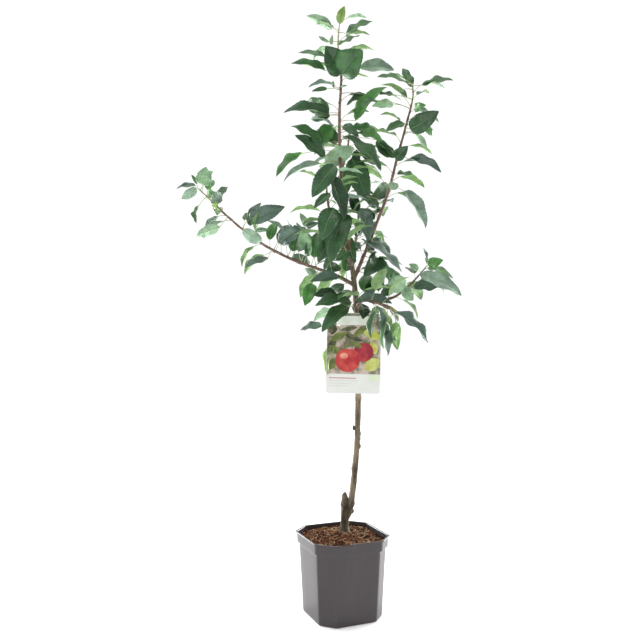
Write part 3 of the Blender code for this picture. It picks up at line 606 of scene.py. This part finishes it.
masses = [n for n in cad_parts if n.startswith("foliage_")]
made = [bag.make("leaves", layer="leaf") for bag in bags.values()]
for k, name in enumerate(masses):
    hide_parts(name)
stalks.make("leaves")

# buds on the shoots
buds = Bag("buds", [upper_mat, green_mat])
for limb, run in limb_runs.items():
    for i in range(8, len(run) - 2, 9):
        p, r = run[i]
        if limb == "trunk" and p.z < 0.30:
            continue
        t = (run[i + 1][0] - run[i - 1][0]).normalized()
        u = t.orthogonal().normalized()
        a = i * 2.513 / 9 * 2
        out = u * math.cos(a) + t.cross(u) * math.sin(a)
        size = min(r, 0.0035)
        pts = [p + out * (r * 0.8) + (t * 0.9 + out * 0.35) * size * k * 0.6 for k in range(4)]
        tube(buds, pts, [size * f for f in (0.55, 0.62, 0.42, 0.12)], 8, 0 if i < 0.8 * len(run) else 1)
buds.make("shoot_bark")

# -------------------------------------------------------------------- pot
POT_TURN = math.radians(22.8)


def octagon(width, z, corner=0.05, steps=5):
    half, flat = width / 2, width * 0.623 / 2
    corners = [Vector(c) for c in ((flat, -half), (half, -flat), (half, flat), (flat, half), (-flat, half),
                                   (-half, flat), (-half, -flat), (-flat, -half))]
    spin = Matrix.Rotation(POT_TURN, 2)
    pts = []
    for i, c in enumerate(corners):
        back = c + (corners[i - 1] - c).normalized() * width * corner / 2
        on = c + (corners[(i + 1) % 8] - c).normalized() * width * corner / 2
        for k in range(steps):
            t = k / (steps - 1)
            q = back.lerp(c, t).lerp(c.lerp(on, t), t)
            q = spin @ q
            pts.append((q.x, q.y, z))
        nxt_back = corners[(i + 1) % 8] + (c - corners[(i + 1) % 8]).normalized() * width * corner / 2
        for k in (0.25, 0.5, 0.75):
            q = spin @ on.lerp(nxt_back, k)
            pts.append((q.x, q.y, z))
    return pts


def body(z):
    return 0.150 + (0.1645 - 0.150) * (z - 0.004) / (0.177 - 0.0235 - 0.004)


pot_mat, tree, bsdf = base_material("pot_plastic", (0.050, 0.040, 0.043), 0.25, 0.5)
tree.links.new(tint(tree, (0.028, 0.021, 0.024), (0.048, 0.038, 0.041), noisy(tree, 9, 5, 0.3, 0.7, (1, 1, 0.35))),
               bsdf.inputs["Base Color"])
bump(tree, bsdf, noisy(tree, 900, 3), 0.10, 0.0002)
step = 0.1535
profile = [(0.139, 0.0), (0.1455, 0.0002), (0.1480, 0.0012), (0.1495, 0.003), (0.1502, 0.006), (body(0.03), 0.03),
           (body(0.07), 0.07), (body(0.11), 0.11), (body(0.145), 0.145), (body(step - 0.0006), step - 0.0006),
           (0.1650, step - 0.0002), (0.1705, step), (0.1722, step + 0.0004), (0.1727, step + 0.0014),
           (0.1735, 0.165), (0.1743, 0.1735), (0.1746, 0.1741), (0.1785, 0.1745), (0.1798, 0.1752), (0.1800, 0.1760),
           (0.1796, 0.1767), (0.1785, 0.1770), (0.1730, 0.1770), (0.1718, 0.1765), (0.1713, 0.1745), (0.1700, 0.157),
           (0.1612, 0.1525), (0.1570, 0.11), (0.1500, 0.03), (0.1460, 0.004), (0.1380, 0.003)]
rings = [octagon(w, z) for w, z in profile]
bag = Bag("pot_shell", [pot_mat])
n = len(rings[0])
faces = [(i * n + k, i * n + (k + 1) % n, (i + 1) * n + (k + 1) % n, (i + 1) * n + k)
         for i in range(len(rings) - 1) for k in range(n)]
faces.append(tuple(reversed(range(n))))
faces.append(tuple((len(rings) - 1) * n + k for k in range(n)))
bag.add([p for ring in rings for p in ring], faces, 0)
pot = bag.make("pot_plastic")
pot.data.set_sharp_from_angle(angle=math.radians(50))


def notch_cutters():
    for quarter in range(4):
        for shift in ((0.0,) if quarter % 2 == 0 else (-0.024, 0.024)):
            a = POT_TURN + quarter * math.pi / 2
            wide = 0.026 if quarter % 2 == 0 else 0.013
            out, along = Vector((math.sin(a), -math.cos(a), 0)), Vector((math.cos(a), math.sin(a), 0))
            mesh = bpy.data.meshes.new("cutter")
            pts = [out * (0.075 + dy * 0.008) + along * (shift + dx * wide / 2) + Vector((0, 0, z))
                   for z in (-0.0025, 0.0045) for dx, dy in ((-1, -1), (1, -1), (1, 1), (-1, 1))]
            mesh.from_pydata([tuple(p) for p in pts], [],
                             [(3, 2, 1, 0), (4, 5, 6, 7), (0, 1, 5, 4), (1, 2, 6, 5), (2, 3, 7, 6), (3, 0, 4, 7)])
            cutter = bpy.data.objects.new("cutter", mesh)
            scene.collection.objects.link(cutter)
            mod = pot.modifiers.new("notch", "BOOLEAN")
            mod.object = cutter
            mod.solver = "EXACT"
            yield cutter, mod


cut_now = list(notch_cutters())
bpy.context.view_layer.update()
done = bpy.data.meshes.new_from_object(pot.evaluated_get(bpy.context.evaluated_depsgraph_get()))
for cutter, mod in cut_now:
    pot.modifiers.remove(mod)
    bpy.data.objects.remove(cutter, do_unlink=True)
pot.data = done
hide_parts("pot")

# ---------------------------------------------------------------- compost
soil_mats = []
for name, low, high in (("bark_dark", (0.018, 0.006, 0.004), (0.060, 0.018, 0.009)),
                        ("bark_red", (0.095, 0.024, 0.011), (0.26, 0.080, 0.034)),
                        ("bark_tan", (0.24, 0.120, 0.050), (0.42, 0.25, 0.11)),
                        ("bark_straw", (0.46, 0.32, 0.16), (0.66, 0.50, 0.30))):
    mat, tree, bsdf = base_material(name, low, 0.85, 0.25)
    tree.links.new(tint(tree, low, high, noisy(tree, 160, 5)), bsdf.inputs["Base Color"])
    bump(tree, bsdf, noisy(tree, 700, 6), 0.7, 0.0006)
    soil_mats.append(mat)


def soil_height(x, y):
    r = math.hypot(x, y - 0.035)
    fall = 0.0045 * min(1.0, max(0.0, (r - 0.022) / 0.075)) ** 1.2
    return 0.1690 - fall + 0.0016 * noise.noise(Vector((x * 90, y * 90, 3.0)))


soil = Bag("compost_bed", soil_mats)
inner = np.array([p[:2] for p in octagon(0.1690, 0)])
rings = []
centre = np.array([0.0, 0.0])
for share in (1.0, 1.0, 0.93, 0.84, 0.74, 0.64, 0.53, 0.42, 0.31, 0.20, 0.10):
    low = len(rings) == 0
    rings.append([(x, y, 0.150 if low else soil_height(x, y))
                  for x, y in (inner * (0.955 if low else 1.0) * share if low else inner * share)])
n = len(rings[0])
faces = [(i * n + k, i * n + (k + 1) % n, (i + 1) * n + (k + 1) % n, (i + 1) * n + k)
         for i in range(len(rings) - 1) for k in range(n)]
faces += [tuple(reversed(range(n))), tuple((len(rings) - 1) * n + k for k in range(n))]
soil.add([p for ring in rings for p in ring], faces, 0)
rng = random.Random(23)


def inside(x, y, half):
    c, s = math.cos(-POT_TURN), math.sin(-POT_TURN)
    u, v = abs(c * x - s * y), abs(s * x + c * y)
    return u < half and v < half and u + v < half * 1.61


count = 0
while count < 2300:
    x, y = rng.uniform(-0.095, 0.095), rng.uniform(-0.095, 0.095)
    if not inside(x, y, 0.0815) or math.hypot(x - 0.006, y - 0.035) < 0.011:
        continue
    count += 1
    length = rng.uniform(0.0025, 0.0085) * (1.4 if rng.random() < 0.15 else 1)
    wide, thick = length * rng.uniform(0.25, 0.6), rng.uniform(0.0005, 0.0016)
    yaw, pitch, roll = rng.uniform(0, 6.28), rng.gauss(0, 0.35), rng.gauss(0, 0.6)
    turn_by = (Matrix.Rotation(yaw, 3, "Z") @ Matrix.Rotation(pitch, 3, "Y") @ Matrix.Rotation(roll, 3, "X"))
    here = Vector((x, y, soil_height(x, y) + rng.uniform(0.0002, 0.0026)))
    pts = []
    for dz in (-0.5, 0.5):
        for k in range(6):
            a = k * math.pi / 3
            q = Vector((math.cos(a) * length / 2 * rng.uniform(0.75, 1.1), math.sin(a) * wide / 2 * rng.uniform(0.7, 1.1),
                        dz * thick))
            q = here + turn_by @ q
            q.z = min(q.z, 0.1765)
            pts.append(tuple(q))
    faces = [(5, 4, 3, 2, 1, 0), (6, 7, 8, 9, 10, 11)] + [(k, (k + 1) % 6, 6 + (k + 1) % 6, 6 + k) for k in range(6)]
    soil.add(pts, faces, rng.choices((0, 1, 2, 3), (40, 44, 11, 5))[0])
for _ in range(330):
    x, y = rng.uniform(-0.08, 0.08), rng.uniform(-0.08, 0.08)
    length, yaw = rng.uniform(0.007, 0.026), rng.uniform(0, 6.28)
    run = []
    for k in range(6):
        t = k / 5 - 0.5
        qx = x + math.cos(yaw + t * 0.9) * length * t
        qy = y + math.sin(yaw + t * 0.9) * length * t
        run.append(Vector((qx, qy, soil_height(qx, qy) + 0.0022 + 0.0012 * math.cos(3 * t))))
    if all(inside(p.x, p.y, 0.081) for p in run):
        r = rng.uniform(0.00025, 0.0006)
        tube(soil, run, [r] * 6, 5, rng.choices((1, 2, 3), (4, 4, 4))[0])
bed = soil.make("compost", smooth=False)
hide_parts("compost")

# -------------------------------------------------------------------- card
card_white, tree, bsdf = base_material("card_white", (0.82, 0.83, 0.79), 0.35, 0.5)
tree.links.new(tint(tree, (0.80, 0.81, 0.77), (0.85, 0.86, 0.82), noisy(tree, 30)), bsdf.inputs["Base Color"])
strap_white, tree, bsdf = base_material("strap_white", (0.82, 0.85, 0.79), 0.3, 0.5)
tree.links.new(tint(tree, (0.76, 0.80, 0.72), (0.90, 0.91, 0.87), noisy(tree, 45, 3)), bsdf.inputs["Base Color"])
for node, mat in (("hanging_card", card_white), ("card_strap", strap_white)):
    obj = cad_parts[node]
    obj.data.materials.clear()
    obj.data.materials.append(mat)


def print_material(name, low, high, scale):
    mat, tree, bsdf = base_material(name, low, 0.33, 0.5)
    tree.links.new(tint(tree, low, high, noisy(tree, scale, 3, 0.40, 0.60)), bsdf.inputs["Base Color"])
    return mat


prints = [
    print_material("print_ground", (0.60, 0.50, 0.43), (0.16, 0.15, 0.085), 42),
    print_material("print_white", (0.86, 0.87, 0.82), (0.80, 0.82, 0.77), 40),
    print_material("print_olive", (0.12, 0.15, 0.035), (0.25, 0.30, 0.08), 60),
    print_material("print_lime", (0.48, 0.50, 0.06), (0.62, 0.66, 0.22), 50),
    print_material("print_red", (0.46, 0.022, 0.032), (0.70, 0.10, 0.075), 26),
    print_material("print_deep_red", (0.30, 0.015, 0.035), (0.52, 0.05, 0.06), 45),
    print_material("print_rule", (0.55, 0.56, 0.52), (0.60, 0.61, 0.57), 50),
    print_material("print_mint", (0.74, 0.83, 0.60), (0.79, 0.86, 0.67), 40),
    print_material("print_blush", (0.80, 0.24, 0.17), (0.86, 0.40, 0.30), 60),
    print_material("print_shade", (0.035, 0.040, 0.022), (0.16, 0.16, 0.085), 70),
]
card = Bag("card_print", prints)
CARD = Vector((0.0245, -0.0160, 0.5745))
TILT = Matrix.Rotation(math.radians(1.2), 3, "Y")


def flat_piece(outline, layer, slot):
    """A printed shape on the card's face, a hair proud of it. Outline in card coordinates, metres, +x right, +z up."""
    front = -0.00045 - 0.00003 * layer - 0.00004
    pts = [tuple(CARD + TILT @ Vector((x, front + d, z))) for d in (0, 0.00004) for x, z in outline]
    n = len(outline)
    faces = [tuple(range(n)), tuple(reversed(range(n, 2 * n)))]
    faces += [((k + 1) % n, k, n + k, n + (k + 1) % n) for k in range(n)]
    card.add(pts, faces, slot)


def rect(x0, z0, x1, z1):
    return [(x0, z0), (x1, z0), (x1, z1), (x0, z1)]


def disc(cx, cz, rx, rz, sides=40, dent=0.0):
    out = []
    for k in range(sides):
        a = 2 * math.pi * k / sides
        r = 1 - dent * math.exp(-((a - math.pi / 2) / 0.35) ** 2)
        out.append((cx + rx * r * math.cos(a), cz + rz * r * math.sin(a)))
    return out


def blade(cx, cz, length, wide, angle, steps=10):
    up = [(length * (t - 0.5), wide / 2 * math.sin(math.pi * t) ** 0.8) for t in [k / steps for k in range(steps + 1)]]
    down = [(x, -z) for x, z in reversed(up[1:-1])]
    c, s = math.cos(angle), math.sin(angle)
    return [(cx + c * x - s * z, cz + s * x + c * z) for x, z in up + down]


slot_low, slot_high = 0.0600, 0.0830
x_edge = 0.0585
flat_piece(rect(-x_edge, -0.0455, x_edge, 0.0590), 0, 0)
flat_piece(rect(-0.0300, 0.0590, 0.0330, 0.0865), 0, 0)
flat_piece(rect(0.0415, 0.0590, x_edge, 0.0865), 0, 0)
flat_piece(rect(-x_edge, 0.0590, -0.0385, 0.0865), 0, 0)
# generic motif: a pair of round fruits on a slanting sprig with leaves
motif = 0
for cx, cz, length, wide, deg, tone in ((-0.047, 0.052, 0.026, 0.020, 80, 9), (-0.012, 0.053, 0.040, 0.010, 12, 9),
                                        (0.026, 0.053, 0.030, 0.012, -15, 9), (-0.047, 0.020, 0.030, 0.015, 60, 9),
                                        (0.000, 0.034, 0.044, 0.012, -20, 9), (-0.034, 0.036, 0.040, 0.017, 25, 2), (-0.040, 0.006, 0.036, 0.016, -35, 2),
                                        (0.040, 0.041, 0.046, 0.019, -22, 3), (0.012, 0.047, 0.036, 0.014, 40, 2),
                                        (0.043, 0.012, 0.030, 0.020, -70, 3), (0.041, -0.024, 0.040, 0.028, 35, 3),
                                        (-0.046, -0.024, 0.026, 0.018, 70, 2)):
    motif += 1
    flat_piece(blade(cx, cz, length, wide, math.radians(deg)), motif, tone)
flat_piece(disc(0.022, 0.003, 0.0215, 0.0210, dent=0.08), 13, 5)
flat_piece(disc(-0.0130, -0.0150, 0.0270, 0.0265, dent=0.10), 14, 4)
flat_piece(disc(-0.0210, -0.0060, 0.0085, 0.0065), 15, 8)
flat_piece(blade(0.006, 0.019, 0.028, 0.011, math.radians(-30)), 16, 2)
flat_piece(blade(-0.016, 0.016, 0.024, 0.0025, math.radians(72)), 17, 2)
flat_piece(rect(-0.0530, -0.0555, 0.0060, -0.0540), 1, 4)
for z, far in ((-0.0610, 0.010), (-0.0665, -0.004), (-0.0720, -0.010)):
    flat_piece(rect(-0.0530, z, far, z + 0.0007), 1, 6)
flat_piece(rect(0.0340, -0.0610, x_edge - 0.001, -0.0465), 1, 7)
card_print = card.make("card", smooth=False)

# ------------------------------------------------------------------- floor
floor_mat, tree, bsdf = base_material("floor", (0.93, 0.93, 0.93), 0.9, 0.1)
bsdf.inputs["Emission Color"].default_value = (1, 1, 1, 1)
bsdf.inputs["Emission Strength"].default_value = 0.22
mesh = bpy.data.meshes.new("floor")
mesh.from_pydata([(-9, -6, 0), (9, -6, 0), (9, 9, 0), (-9, 9, 0)], [], [(0, 1, 2, 3)])
mesh.materials.append(floor_mat)
floor = bpy.data.objects.new("floor", mesh)
scene.collection.objects.link(floor)
